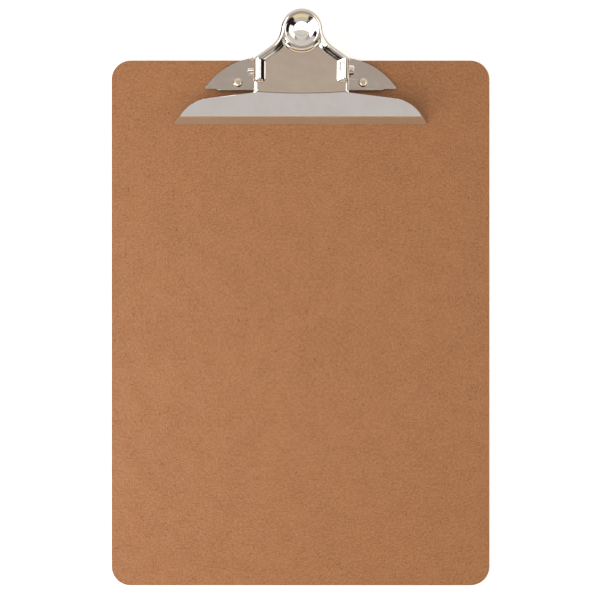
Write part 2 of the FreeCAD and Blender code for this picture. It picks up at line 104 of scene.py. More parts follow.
HUB = (11.43, -9.55)           # hinge line in the lever frame
HUB_RADIUS = 5.5
FLANGE_FRONT = (0.6, -2.5)
FLANGE_REAR = (21.0, -3.0)
HOLE_RADIUS = 4.8
DISH_KNEE = (7.4, 0.35)        # radius and height where the dish gets shallower
DISH_FLOOR = -0.45
DISH_ROUNDING = (1.6, 3.5, 0.5)
HOLE_COLLAR = 1.0              # depth of the sheet turned down at the hanging hole
JAW_EDGE_ROUND = 0.12
SMOOTH_UNDER = 50              # degrees: edges sharper than this stay sharp

# ---- base plate ----------------------------------------------------------------
PLATE_TOP = 5.6
PLATE_SHEET = 1.0
PLATE_FRONT = 139.75
PLATE_BEND = 1.3
NOTCH = (46.5, 51.0)
WING_TIP = (57.7, 141.4)
WING_ARC = ((57.7, 142.0), (46.6, 153.1), (30.1, 159.8))
TONGUE_BEND = 173.4
TONGUE_END = 177.4
TONGUE_RADIUS = 8.0
TONGUE_SLOPE = math.radians(39.0)
TONGUE_BEND_RADIUS = 3.0
EAR_X = 27.2
EAR_HALF = 5.0
EAR_FILLET = 0.5
WINDOW_X = 13.0
PLATE_EDGE_ROUND = 0.3
TIP_LEFT_SHARP = 0.8           # the last stretch of each wing tip isn't rounded

# ---- pin, rivets, washers, springs ---------------------------------------------
PIN_RADIUS = 1.2
PIN_TAIL_X = -31.9
PIN_HEAD_X = 28.65
PIN_HEAD_THICKNESS = 3.2
PIN_HEAD_RADIUS = 2.95
PIN_ROUNDING = (0.45, 0.1, 0.25, 0.8)
PIN_PLAY_JAW = 0.05
PIN_PLAY_EAR = 0.02
RIVET = (37.75, 145.15)        # X and Y of the rivets
RIVET_DOME_RADIUS = 2.62
RIVET_DOME_FOOT = 0.35         # dome's base above the plate
RIVET_DOME_HEIGHT = 0.9
RIVET_SHANK_RADIUS = 1.85
RECESS_FLOOR = 0.75            # rivet's recess in the board's back
RIVET_TAIL = 0.2
WASHER_RADII = (1.95, 4.4)
WASHER_THICKNESS = 0.5
SPRING_WIRE = 0.75             # radius
SPRING_COIL = 2.9              # radius
SPRING_X = (23.5, 12.5)        # coil's outer and inner end
SPRING_TURNS = 7
BASE_LEG_ANGLE = -27.0         # degrees, from +Y towards +Z
LEVER_LEG_ANGLE = 29.5
BASE_LEG = (9.6, 1.6, 1.5)     # length, length of its foot, radius of the bend between them
LEVER_LEG = (15.6, 4.0, 3.0)

# ---- materials, light and camera, in metres ----------------------------------------
LIP_WORN = (0.1235, 0.1252)    # the lip's extra roughness fades out between these Y
CLIP = (0, 0.14, 0.02)         # the softboxes are aimed here
SOFTBOX_LEFT = ((-0.55, -0.20, 0.56), (0.62, 1.16), 8.6)     # centre, sides, watts
SOFTBOX_RIGHT = ((0.53, -0.03, 0.73), (0.54, 0.72), 1.8)
WALLS_FADE = (17, 27)          # degrees from the zenith over which the walls' pattern comes in
FLOOR_REACH = 3.0
FLOOR_GAP = 0.0003             # keeps the floor out of the board's back face
FLOOR_COLOUR = (0.93, 0.93, 0.93, 1)
FLOOR_GLOW = 0.45
CAMERA_HEIGHT = 1.2            # above the board
CAMERA_ASIDE = 0.030           # the camera stands this far left of the frame's middle
FRAME_WIDTH = 0.3629
FRAME_CENTRE = (-0.0003, 0.0139)
CAMERA_CLIP_END = 20
SENSOR_MM = 36.0


# ---- small tools -----------------------------------------------------------------
def smooth(t):
    t = np.clip(t, 0, 1)
    return t * t * (3 - 2 * t)


def smoother(t):
    t = np.clip(t, 0, 1)
    return t * t * t * (t * (6 * t - 15) + 10)


def slope_down(t):
    """From 1 to 0 as t goes from 0 to 1: rounded at the top, straight, then a short run-out."""
    t = np.clip(t, 0, 1)
    total = 1 - SLOPE_TOP / 2 - SLOPE_FOOT / 2
    top = np.minimum(t, SLOPE_TOP)
    foot = np.maximum(t - (1 - SLOPE_FOOT), 0)
    fallen = top * top / (2 * SLOPE_TOP) + (t - top) - foot * foot / (2 * SLOPE_FOOT)
    return 1 - fallen / total


def smooth_min(a, b, width):
    near = np.maximum(width - np.abs(a - b), 0)
    return np.minimum(a, b) - near * near / (4 * width)


def arc_points(centre, radius, first, last, count):
    angles = np.linspace(first, last, count)
    return np.stack([centre[0] + radius * np.cos(angles), centre[1] + radius * np.sin(angles)], 1)


def arc_through(a, b, c, count):
    """Points on the circle through a, b and c, from a to c."""
    (ax, ay), (bx, by), (cx, cy) = a, b, c
    d = 2 * (ax * (by - cy) + bx * (cy - ay) + cx * (ay - by))
    sa, sb, sc = ax * ax + ay * ay, bx * bx + by * by, cx * cx + cy * cy
    x = (sa * (by - cy) + sb * (cy - ay) + sc * (ay - by)) / d
    y = (sa * (cx - bx) + sb * (ax - cx) + sc * (bx - ax)) / d
    first = math.atan2(ay - y, ax - x)
    last = math.atan2(cy - y, cx - x)
    while last - first > math.pi:
        last -= 2 * math.pi
    while last - first < -math.pi:
        last += 2 * math.pi
    return arc_points((x, y), math.hypot(ax - x, ay - y), first, last, count)


def rounded_path(points, radii, steps=6):
    """Polyline whose inner corners are replaced by tangent arcs; works in two or three axes."""
    points = [np.asarray(p, float) for p in points]
    path = [points[0]]
    for before, corner, after, radius in zip(points, points[1:], points[2:], radii):
        back = (before - corner) / np.linalg.norm(before - corner)
        ahead = (after - corner) / np.linalg.norm(after - corner)
        half = math.acos(np.clip(back @ ahead, -1, 1)) / 2
        middle = (back + ahead) / np.linalg.norm(back + ahead)
        centre = corner + middle * (radius / math.sin(half))
        reach = radius / math.tan(half)
        first = corner + back * reach - centre
        last = corner + ahead * reach - centre
        turn = math.pi - 2 * half
        for k in range(steps + 1):
            a = math.sin(turn * (1 - k / steps)) / math.sin(turn)
            b = math.sin(turn * k / steps) / math.sin(turn)
            path.append(centre + first * a + last * b)
    path.append(points[-1])
    return np.array(path)


def inside(points, outline):
    """Tells which points lie inside a closed outline."""
    x, y = points[:, :1], points[:, 1:]
    x0, y0 = outline[:, 0], outline[:, 1]
    x1, y1 = np.roll(x0, -1), np.roll(y0, -1)
    rise = np.where(y1 == y0, 1e-12, y1 - y0)
    crosses = ((y0 > y) != (y1 > y)) & (x < (x1 - x0) * (y - y0) / rise + x0)
    return crosses.sum(1) % 2 == 1


def distance_to_line(points, line):
    """Shortest distance from each point to an open polyline."""
    best = np.full(len(points), 1e9)
    for a, b in zip(line[:-1], line[1:]):
        run = b - a
        length = run @ run
        if length < 1e-12:
            continue
        t = np.clip(((points - a) @ run) / length, 0, 1)
        best = np.minimum(best, np.linalg.norm(points - a - t[:, None] * run, axis=1))
    return best


def lattice(low, high, step):
    """Points of a triangular lattice over a rectangle."""
    rows = []
    for index, y in enumerate(np.arange(low[1], high[1], step * 0.866)):
        xs = np.arange(low[0] + (index % 2) * step / 2, high[0], step)
        rows.append(np.stack([xs, np.full_like(xs, y)], 1))
    return np.concatenate(rows)


def fill(outline, inner=()):
    """Delaunay triangles inside a closed outline, through the inner points."""
    points = [Vector(p) for p in outline] + [Vector(p) for p in inner]
    loop = list(range(len(outline)))
    result = delaunay_2d_cdt(points, [], [loop], 1, 1e-6)
    return np.array([tuple(p) for p in result[0]]), [list(f) for f in result[2]]


class Skin:
    """Collects the faces of one surface."""

    def __init__(self):
        self.points = []
        self.faces = []

    def add(self, points, faces):
        start = len(self.points)
        self.points += [tuple(p) for p in np.asarray(points, float).reshape(-1, 3)]
        self.faces += [[start + i for i in face] for face in faces]

    def grid(self, points):
        rows, columns = points.shape[:2]
        faces = []
        for r in range(rows - 1):
            for c in range(columns - 1):
                i = r * columns + c
                faces.append([i, i + 1, i + columns + 1, i + columns])
        self.add(points, faces)

    def joined(self):
        """One mesh with its seams closed and its faces turned the same way."""
        bm = bmesh.new()
        verts = [bm.verts.new(p) for p in self.points]
        for face in self.faces:
            bm.faces.new([verts[i] for i in face])
        bmesh.ops.remove_doubles(bm, verts=bm.verts, dist=JOIN)
        bmesh.ops.dissolve_degenerate(bm, edges=bm.edges, dist=JOIN / 2)
        bmesh.ops.recalc_face_normals(bm, faces=bm.faces)
        return bm

    def upward(self):
        """The joined mesh with most of its faces looking up."""
        bm = self.joined()
        if sum(f.normal.z * f.calc_area() for f in bm.faces) <= 0:
            bmesh.ops.reverse_faces(bm, faces=bm.faces)
        return bm


def thicken(bm, thickness, rounding, sharp_beyond=(math.inf, math.inf)):
    """Gives a skin its sheet thickness on the far side and rounds the cut edges up to |x| and y."""
    bm.normal_update()
    bm.verts.index_update()
    skin = list(bm.faces)
    border = [edge.link_loops[0] for edge in bm.edges if edge.is_boundary]
    border = [(loop.vert, loop.link_loop_next.vert) for loop in border]
    outer = list(bm.verts)
    inner = [bm.verts.new(v.co - v.normal * thickness) for v in outer]
    for face in skin:
        bm.faces.new([inner[v.index] for v in reversed(face.verts)])
    cut_edges = []
    for a, b in border:
        bm.faces.new([b, a, inner[a.index], inner[b.index]])
        if min(abs(a.co.x), abs(b.co.x)) > sharp_beyond[0] or min(a.co.y, b.co.y) > sharp_beyond[1]:
            continue
        cut_edges.append(bm.edges.get((a, b)))
        cut_edges.append(bm.edges.get((inner[a.index], inner[b.index])))
    bmesh.ops.bevel(bm, geom=cut_edges, offset=rounding, segments=2, profile=0.5,
                    affect="EDGES", clamp_overlap=True)


def finish_mesh(bm, name, smooth_under=SMOOTH_UNDER):
    """Object in metres from a mesh in millimetres, smooth except at sharp edges."""
    bmesh.ops.scale(bm, vec=(MM, MM, MM), verts=bm.verts)
    mesh = bpy.data.meshes.new(name)
    bm.to_mesh(mesh)
    bm.free()
    mesh.shade_smooth()
    mesh.set_sharp_from_angle(angle=math.radians(smooth_under))
    piece = bpy.data.objects.new(name, mesh)
    bpy.context.scene.collection.objects.link(piece)
    return piece


def lathe(profile, axis, centre, steps=64):
    """Surface of revolution in millimetres. profile holds (radius, distance along the axis)."""
    profile = np.asarray(profile, float)
    rows = []
    for k in range(steps + 1):
        angle = 2 * math.pi * (k % steps) / steps
        ring = []
        for radius, along in profile:
            a, b = radius * math.cos(angle), radius * math.sin(angle)
            ring.append((along, a, b) if axis == "X" else (a, b, along))
        rows.append(ring)
    skin = Skin()
    skin.grid(np.array(rows) + np.asarray(centre, float))
    return skin.joined()


def cut_bore(piece, radius, y, z, reach):
    """Round hole along X through a finished piece."""
    cutter_mesh = bpy.data.meshes.new("cutter")
    bm = bmesh.new()
    turn = Matrix.Rotation(math.pi / 2, 4, "Y")
    place = Matrix.Translation((0, y * MM, z * MM)) @ turn
    bmesh.ops.create_cone(bm, cap_ends=True, segments=40, radius1=radius * MM, radius2=radius * MM,
                          depth=2 * reach * MM, matrix=place)
    bm.to_mesh(cutter_mesh)
    bm.free()
    cutter = bpy.data.objects.new("cutter", cutter_mesh)
    bpy.context.scene.collection.objects.link(cutter)
    cut = piece.modifiers.new("bore", "BOOLEAN")
    cut.operation = "DIFFERENCE"
    cut.solver = "EXACT"
    cut.object = cutter
    bpy.context.view_layer.update()
    evaluated = piece.evaluated_get(bpy.context.evaluated_depsgraph_get())
    mesh = bpy.data.meshes.new_from_object(evaluated)
    piece.modifiers.clear()
    old = piece.data
    piece.data = mesh
    mesh.name = piece.name
    bpy.data.meshes.remove(old)
    bpy.data.objects.remove(cutter)
    bpy.data.meshes.remove(cutter_mesh)
    mesh.set_sharp_from_angle(angle=math.radians(SMOOTH_UNDER))


# ---- jaw and lever ---------------------------------------------------------------
# Lever frame: u across, v along the lever from the crease, w out of it.
def to_lever(y, z):
    dy, dz = y - CREASE[0], z - CREASE[1]
    return dy * math.cos(TILT) + dz * math.sin(TILT), dz * math.cos(TILT) - dy * math.sin(TILT)


def from_lever(u, v, w):
    y = CREASE[0] + v * math.cos(TILT) - w * math.sin(TILT)
    z = CREASE[1] + v * math.sin(TILT) + w * math.cos(TILT)
    return np.stack([u, y, z], -1)


LIP_V, LIP_W = to_lever(*LIP)
LIP_BEND_V, LIP_BEND_W = to_lever(*LIP_BEND)
LIP_SLOPE = (LIP_BEND_W - LIP_W) / (LIP_BEND_V - LIP_V)
BLADE_SLOPE = LIP_BEND_W / LIP_BEND_V


def sheet_surface(u, v):
    """Lip, blade and panel without the beads."""
    lip = LIP_BEND_W + LIP_SLOPE * (v - LIP_BEND_V)
    blade = BLADE_SLOPE * v
    half = HALF_WIDTH - BEND_RADIUS
    panel = -PANEL_SAG * np.clip(1 - (u / half) ** 2, 0, 1)
    return smooth_min(smooth_min(lip, blade, LIP_BLEND), panel, CREASE_BLEND)


def blade_v(y):
    """Distance along the lever frame of the blade's surface at a given Y."""
    v = np.linspace(LIP_V - 1, 3, 4000)
    surface = from_lever(np.full_like(v, 40.0), v, sheet_surface(np.full_like(v, 40.0), v))
    return np.interp(y, surface[:, 1], v)


def blade_table():
    """Rows of (v, half width) down the blade's side."""
    rows = list(LIP_SIDE)
    rows += [(y, x) for x, y in arc_through(*SHOULDER_ARC, 24)]
    rows.append((BLADE_ROOT[1], BLADE_ROOT[0]))
    rows = np.array(rows)
    return np.stack([blade_v(rows[:, 0]), rows[:, 1]], 1)


class LeverEdge:
    """Outline of the lever and the crest line of its bead, point by point, on the +u side."""

    def __init__(self, v_start, v_rows):
        normal = np.array([math.cos(SHOULDER_TURN), math.sin(SHOULDER_TURN)])
        corner = np.array([HALF_WIDTH, FLANGE_CORNER_V])
        ring = np.array([0.0, RING_V])
        reach = RING_RADIUS + NECK_RADIUS
        offset = normal @ (ring - corner)
        turn = SHOULDER_TURN - math.acos((NECK_RADIUS - offset) / reach)
        neck = ring + reach * np.array([math.cos(turn), math.sin(turn)])
        on_shoulder = neck - NECK_RADIUS * normal
        tangent = math.tan(SHOULDER_TURN / 2)

        out_corner = corner[1] - CORNER_RADIUS_OUT * tangent
        crest_u = HALF_WIDTH - BEAD_INSET
        crest_corner = corner[1] + (-SHOULDER_INSET - normal[0] * (crest_u - corner[0])) / normal[1]
        crest_end = crest_corner - CORNER_RADIUS_CREST * tangent
        v = np.concatenate([v_rows, np.arange(v_rows[-1] + 0.45, crest_end - 0.2, 0.45), [crest_end]])
        inset = BEND_RADIUS + (BEAD_INSET - BEND_RADIUS) * smooth((v - 5.0) / 3.0)
        share = np.clip((v - SHOULDER_STRETCH_V) / (crest_end - SHOULDER_STRETCH_V), 0, 1)
        spread = SHOULDER_STRETCH_V + share * (out_corner - SHOULDER_STRETCH_V)
        v_out = np.where(v > SHOULDER_STRETCH_V, spread, v)
        crest = [np.stack([HALF_WIDTH - inset, v], 1)]
        outline = [np.stack([np.full_like(v, HALF_WIDTH), v_out], 1)]

        count = 9
        crest_centre = (crest_u - CORNER_RADIUS_CREST, crest_end)
        out_centre = (HALF_WIDTH - CORNER_RADIUS_OUT, out_corner)
        crest.append(arc_points(crest_centre, CORNER_RADIUS_CREST, 0, SHOULDER_TURN, count)[1:])
        outline.append(arc_points(out_centre, CORNER_RADIUS_OUT, 0, SHOULDER_TURN, count)[1:])

        count = 26
        t = np.linspace(0, 1, count)[1:, None]
        crest.append(crest[-1][-1] * (1 - t) + (on_shoulder - SHOULDER_INSET * normal) * t)
        outline.append(outline[-1][-1] * (1 - t) + on_shoulder * t)

        count = 22
        t = np.linspace(0, 1, count)[1:]
        first = SHOULDER_TURN + math.pi
        angle = first + (turn + math.pi - first) * t
        ring_inset = RING_RADIUS - RING_CREST
        inset = SHOULDER_INSET + (ring_inset - SHOULDER_INSET) * smooth(t)
        ray = np.stack([np.cos(angle), np.sin(angle)], 1)
        crest.append(neck + ray * (NECK_RADIUS + inset)[:, None])
        outline.append(neck + ray * NECK_RADIUS)
        self.neck_end = sum(len(part) for part in crest) - 1

        count = 34
        crest.append(arc_points(ring, RING_CREST, turn, math.pi / 2, count)[1:])
        outline.append(arc_points(ring, RING_RADIUS, turn, math.pi / 2, count)[1:])
        self.crest = np.concatenate(crest)
        self.outline = np.concatenate(outline)
        self.turn = turn
        self.straight = len(v)

        total = len(self.crest)
        grow = smooth((self.crest[:, 1] - v_start) / 2.0)
        grow[self.straight:] = 1
        foot = smoother((self.crest[:, 1] - FOOT[0]) / (FOOT[1] - FOOT[0]))
        roll = BEND_RADIUS * grow + BEAD * foot
        along = np.clip((np.arange(total) - self.neck_end + 21) / 21.0, 0, 1)
        self.roll = roll + (RING_ROLL - roll) * smooth(along)


def bead_height(u, v, edge):
    points = np.stack([np.abs(u).ravel(), v.ravel()], 1)
    line = edge.crest[:edge.neck_end + 1]
    away = distance_to_line(points, line).reshape(u.shape)
    foot = smoother((v - FOOT[0]) / (FOOT[1] - FOOT[0]))
    side = slope_down(away / BEAD_FALL) * foot
    ring = slope_down(np.abs(np.hypot(u, v - RING_V) - RING_CREST) / RING_FALL)
    return BEAD * (1 - (1 - side) * (1 - ring))


def lever_surface(u, v, edge):
    return sheet_surface(u, v) + bead_height(u, v, edge)


def flange_bottom(v):
    """Lower edge of the flange below each point of the lever's side."""
    knots = [FLANGE_FRONT]
    for start, side in ((FLANGE_FRONT, -1), (FLANGE_REAR, 1)):
        dv, dw = HUB[0] - start[0], HUB[1] - start[1]
        distance = math.hypot(dv, dw)
        heading = math.atan2(dw, dv) + side * math.asin(HUB_RADIUS / distance)
        length = math.sqrt(distance ** 2 - HUB_RADIUS ** 2)
        point = (start[0] + length * math.cos(heading), start[1] + length * math.sin(heading))
        knots.append(point)
    knots.append(FLANGE_REAR)
    front, rear = knots[1], knots[2]
    below = HUB[1] - np.sqrt(np.maximum(HUB_RADIUS ** 2 - (v - HUB[0]) ** 2, 0))
    line_front = np.interp(v, [FLANGE_FRONT[0], front[0]], [FLANGE_FRONT[1], front[1]])
    line_rear = np.interp(v, [rear[0], FLANGE_REAR[0]], [rear[1], FLANGE_REAR[1]])
    return np.where(v < front[0], line_front, np.where(v > rear[0], line_rear, below))


def build_jaw_plate():
    table = blade_table()
    v_root = table[-1, 0]
    roll_steps = np.sin(np.linspace(0, math.pi / 2, 8))

    # Blade and lip: straight columns that fan out from the lever to the jaw's corners.
    bend = np.linspace(LIP_BEND_V - 2.2, LIP_BEND_V + 2.2, 19)
    shoulder = table[(table[:, 0] > bend[-1] + 0.3) & (table[:, 0] < -2.3), 0]
    rows = np.concatenate([np.linspace(LIP_V, bend[0], 7)[:-1], bend, shoulder,
                           np.linspace(-2.2, v_root, 13)])
    rows = np.unique(np.concatenate([rows, table[1:3, 0]]))
    rows_near = np.linspace(v_root, PANEL_START_V, 19)
    crest_u = HALF_WIDTH - BEND_RADIUS
    inner_columns = np.linspace(-crest_u, crest_u, 37)
    side_columns = crest_u + BEND_RADIUS * roll_steps[1:]
    columns = np.concatenate([-side_columns[::-1], inner_columns, side_columns]) / HALF_WIDTH
    skin = Skin()
    half = np.interp(rows, table[:, 0], table[:, 1])
    u = half[:, None] * columns[None, :]
    v = np.repeat(rows[:, None], len(columns), 1)
    skin.grid(from_lever(u, v, sheet_surface(u, v)))

    # The start of the panel, with the crease's upper half.
    u = np.repeat(inner_columns[None, :], len(rows_near), 0)
    v = np.repeat(rows_near[:, None], len(inner_columns), 1)
    skin.grid(from_lever(u, v, sheet_surface(u, v)))

    # Panel up to the crest of the beads and of the ring.
    edge = LeverEdge(v_root, rows_near)
    near = len(rows_near) - 1
    side = edge.crest[near:edge.neck_end + 1]
    ring_south = arc_points((0, RING_V), RING_CREST, edge.turn, -math.pi - edge.turn, 75)
    outline = np.concatenate([
        np.stack([inner_columns, np.full_like(inner_columns, PANEL_START_V)], 1)[:-1],
        side[:-1], ring_south[:-1], (side * [-1, 1])[::-1][:-1]])
    spots = lattice((-28, PANEL_START_V), (28, RING_V + 2), 0.5)
    spots = spots[inside(spots, outline)]
    closed = np.concatenate([outline, outline[:1]])
    spots = spots[distance_to_line(spots, closed) > 0.24]
    flat, triangles = fill(outline, spots)
    w = lever_surface(flat[:, 0], flat[:, 1], edge)
    skin.add(from_lever(flat[:, 0], flat[:, 1], w), triangles)

    # Rolled edge, flanges and rim.
    for sign in (-1, 1):
        crest, outer = edge.crest, edge.outline
        w_crest = lever_surface(crest[:, 0], crest[:, 1], edge)
        foot = crest[:len(rows_near)]
        w_crest[:len(rows_near)] = sheet_surface(foot[:, 0], foot[:, 1])
        strip = []
        for angle in np.linspace(0, math.pi / 2, 8):
            place = crest + (outer - crest) * math.sin(angle)
            w = w_crest - edge.roll * (1 - math.cos(angle))
            strip.append(from_lever(sign * place[:, 0], place[:, 1], w))
        w_top = w_crest - edge.roll
        bottom = np.full(len(crest), RIM_W)
        flange = outer[:, 1] < FLANGE_REAR[0]
        flange[edge.neck_end:] = False
        bottom[flange] = flange_bottom(outer[flange, 1])
        front = np.clip((crest[:, 1] - v_root) / (FLANGE_FRONT[0] - v_root), 0, 1)
        start = w_crest[0] - 0.15
        bottom = np.where(front < 1, start + (FLANGE_FRONT[1] - start) * front ** 0.8, bottom)
        bottom = np.minimum(bottom, w_top - 0.12)
        for share in np.linspace(0, 1, 9)[1:]:
            strip.append(from_lever(sign * outer[:, 0], outer[:, 1], w_top + (bottom - w_top) * share))
        skin.grid(np.array(strip))

    # Dish inside the ring, down to the hanging hole.
    profile = rounded_path([(RING_CREST, BEAD), (RING_CREST - 0.75, BEAD), DISH_KNEE,
                            (HOLE_RADIUS, DISH_FLOOR), (HOLE_RADIUS, DISH_FLOOR - HOLE_COLLAR)],
                           DISH_ROUNDING, 7)
    turn = edge.turn
    north = np.linspace(turn, math.pi - turn, 67)
    south = np.linspace(math.pi - turn, 2 * math.pi + turn, 75)[1:]
    angles = np.concatenate([north, south])
    rows = []
    for radius, w in profile:
        u = radius * np.cos(angles)
        v = RING_V + radius * np.sin(angles)
        fade = smooth((RING_CREST - radius) / 3.0)
        base = lever_surface(RING_CREST * np.cos(angles), RING_V + RING_CREST * np.sin(angles), edge)
        rows.append(from_lever(u, v, w + (base - BEAD) * (1 - fade)))
    skin.grid(np.array(rows))

    bm = skin.upward()
    thicken(bm, SHEET, JAW_EDGE_ROUND)
    for vert in bm.verts:
        vert.co.z = max(vert.co.z, LIP[1])
    jaw = finish_mesh(bm, "jaw_and_lever")
    cut_bore(jaw, PIN_RADIUS + PIN_PLAY_JAW, *PIVOT, HALF_WIDTH + 2)
    return jaw


# ---- base plate -------------------------------------------------------------------
def plate_height(y):
    """Top of the plate behind its front bend: flat, then the tongue turned down."""
    drop = -math.tan(TONGUE_SLOPE) * (y - TONGUE_BEND)
    width = TONGUE_BEND_RADIUS * math.tan(TONGUE_SLOPE) ** 2 / 2
    return PLATE_TOP + smooth_min(np.zeros_like(y), drop, width)


def front_profile(length):
    """Point (Y, Z) at a distance along the turned-down front edge, from the wing tip line."""
    flat = WING_TIP[1] - PLATE_FRONT - PLATE_BEND
    quarter = PLATE_BEND * math.pi / 2
    if length < flat:
        return WING_TIP[1] - length, PLATE_TOP
    if length < flat + quarter:
        angle = (length - flat) / PLATE_BEND
        return (PLATE_FRONT + PLATE_BEND * (1 - math.sin(angle)),
                PLATE_TOP - PLATE_BEND * (1 - math.cos(angle)))
    return PLATE_FRONT, PLATE_TOP - PLATE_BEND - (length - flat - quarter)


def build_base_plate():
    centre = np.array([0, TONGUE_END - TONGUE_RADIUS])
    start = np.array(WING_ARC[2])
    delta = start - centre
    turn = math.atan2(delta[1], delta[0]) + math.acos(TONGUE_RADIUS / np.linalg.norm(delta))
    taper_y = np.arange(start[1] + 1.5, centre[1] + TONGUE_RADIUS * math.sin(turn), 0.6)
    taper_end = centre + TONGUE_RADIUS * np.array([math.cos(turn), math.sin(turn)])
    taper_x = np.interp(taper_y, [start[1], taper_end[1]], [start[0], taper_end[0]])
    right = np.concatenate([arc_through(*WING_ARC, 40), np.stack([taper_x, taper_y], 1),
                            arc_points(centre, TONGUE_RADIUS, turn, math.pi / 2, 30)])
    front_x = np.concatenate([np.linspace(0, NOTCH[0], 24), np.linspace(*NOTCH, 13)[1:],
                              np.linspace(NOTCH[1], WING_TIP[0], 4)[1:]])
    front_x = np.concatenate([-front_x[:0:-1], front_x])
    front = np.stack([front_x, np.full_like(front_x, WING_TIP[1])], 1)
    outline = np.concatenate([front, right, (right * [-1, 1])[::-1][1:]])

    y0, y1 = PIVOT[0] - EAR_HALF, PIVOT[0] + EAR_HALF
    ear_y = PIVOT[0] + EAR_HALF * np.sin(np.linspace(-math.pi / 2, math.pi / 2, 25))
    bend_x = EAR_X + EAR_FILLET
    windows = []
    for sign in (-1, 1):
        loop = [(bend_x, y) for y in ear_y] + [(WINDOW_X, y1), (WINDOW_X, y0)]
        windows.append(np.array(loop) * [sign, 1])
    points = [Vector(p) for p in outline]
    loops = [list(range(len(outline)))]
    for window in windows:
        loops.append(list(range(len(points), len(points) + len(window))))
        points += [Vector(p) for p in window]
    ys = np.arange(TONGUE_BEND - 2.2, TONGUE_END, 0.4)
    for y in ys:
        half = TONGUE_RADIUS
        if y >= centre[1]:
            half = math.sqrt(max(TONGUE_RADIUS ** 2 - (y - centre[1]) ** 2, 0))
        points += [Vector((x, y)) for x in np.linspace(-half + 0.4, half - 0.4, 13)]
    result = delaunay_2d_cdt(points, [], loops, 1, 1e-6)
    flat = np.array([tuple(p) for p in result[0]])
    faces = []
    for face in result[2]:
        middle = flat[list(face)].mean(0)[None]
        if not any(inside(middle, window)[0] for window in windows):
            faces.append(list(face))
    skin = Skin()
    skin.add(np.stack([flat[:, 0], flat[:, 1], plate_height(flat[:, 1])], 1), faces)

    full = WING_TIP[1] - PLATE_FRONT - PLATE_BEND + PLATE_BEND * math.pi / 2
    full += PLATE_TOP - PLATE_BEND - BOARD_TOP
    strip = []
    keep = np.abs(front_x) <= NOTCH[1]
    for x in front_x[keep]:
        length = full * (1 - smooth((abs(x) - NOTCH[0]) / (NOTCH[1] - NOTCH[0])))
        column = [(x, *front_profile(length * k / 14)) for k in range(15)]
        strip.append(column)
    skin.grid(np.array(strip))

    for sign in (-1, 1):
        strip = []
        for y in ear_y:
            top = PIVOT[1] + math.sqrt(max(EAR_HALF ** 2 - (y - PIVOT[0]) ** 2, 0))
            column = []
            for k in range(6):
                angle = k / 5 * math.pi / 2
                column.append((sign * (bend_x - EAR_FILLET * math.sin(angle)), y,
                               PLATE_TOP + EAR_FILLET * (1 - math.cos(angle))))
            for z in np.linspace(PLATE_TOP + EAR_FILLET, top, 10)[1:]:
                column.append((sign * EAR_X, y, z))
            strip.append(column)
        skin.grid(np.array(strip))
    bm = skin.upward()
    thicken(bm, PLATE_SHEET, PLATE_EDGE_ROUND, (WING_TIP[0] - TIP_LEFT_SHARP, TONGUE_BEND))
    for vert in bm.verts:
        if vert.co.y < TONGUE_BEND:
            vert.co.z = max(vert.co.z, BOARD_TOP)
    plate = finish_mesh(bm, "base_plate_sheet")
    cut_bore(plate, PIN_RADIUS + PIN_PLAY_EAR, *PIVOT, EAR_X + 2)
    return plate


# ---- pin, rivets, washers, springs --------------------------------------------------
def build_pin():
    head_end = PIN_HEAD_X + PIN_HEAD_THICKNESS
    corners = [(0, PIN_TAIL_X), (PIN_RADIUS, PIN_TAIL_X), (PIN_RADIUS, PIN_HEAD_X),
               (PIN_HEAD_RADIUS, PIN_HEAD_X), (PIN_HEAD_RADIUS, head_end), (0, head_end)]
    profile = rounded_path(corners, PIN_ROUNDING)
    return finish_mesh(lathe(profile, "X", (0, *PIVOT)), "hinge_pin_headed")


def build_rivet(side, name):
    """Domed head on the plate, shank through plate and board, rolled hollow tail on the washer."""
    top = PLATE_TOP
    profile = [(0, top + RIVET_DOME_FOOT + RIVET_DOME_HEIGHT)]
    steps = 14
    for k in range(1, steps + 1):
        t = k / steps
        height = RIVET_DOME_HEIGHT * math.sqrt(max(1 - t ** 4 * 0.93, 0))
        profile.append((RIVET_DOME_RADIUS * t ** 0.9, top + RIVET_DOME_FOOT + height))
    rim = [(2.78, top + 0.3), (2.8, top + 0.16), (2.76, top + 0.03), (2.6, top)]
    shank = [(RIVET_SHANK_RADIUS, top), (RIVET_SHANK_RADIUS, RECESS_FLOOR)]
    roll = [(2.95, RECESS_FLOOR), (3.1, 0.62), (3.06, 0.38), (2.8, RIVET_TAIL + 0.02),
            (2.3, RIVET_TAIL), (1.5, RIVET_TAIL + 0.06), (1.15, RIVET_TAIL + 0.35)]
    hollow = [(0.95, 1.5), (0.5, 2.2), (0, 2.3)]
    profile += rim + shank + roll + hollow
    return finish_mesh(lathe(profile, "Z", (side * RIVET[0], RIVET[1], 0)), name, 35)


def build_washer(side, name):
    inner, outer = WASHER_RADII
    low, high = RECESS_FLOOR, RECESS_FLOOR + WASHER_THICKNESS
    corners = [(3.2, low), (outer, low), (outer, high), (inner, high), (inner, low), (3.2, low)]
    profile = rounded_path(corners, (0.12, 0.12, 0.1, 0.1), 3)
    return finish_mesh(lathe(profile, "Z", (side * RIVET[0], RIVET[1], 0)), name)


def direction(degrees):
    angle = math.radians(degrees)
    return np.array([0, math.cos(angle), math.sin(angle)])


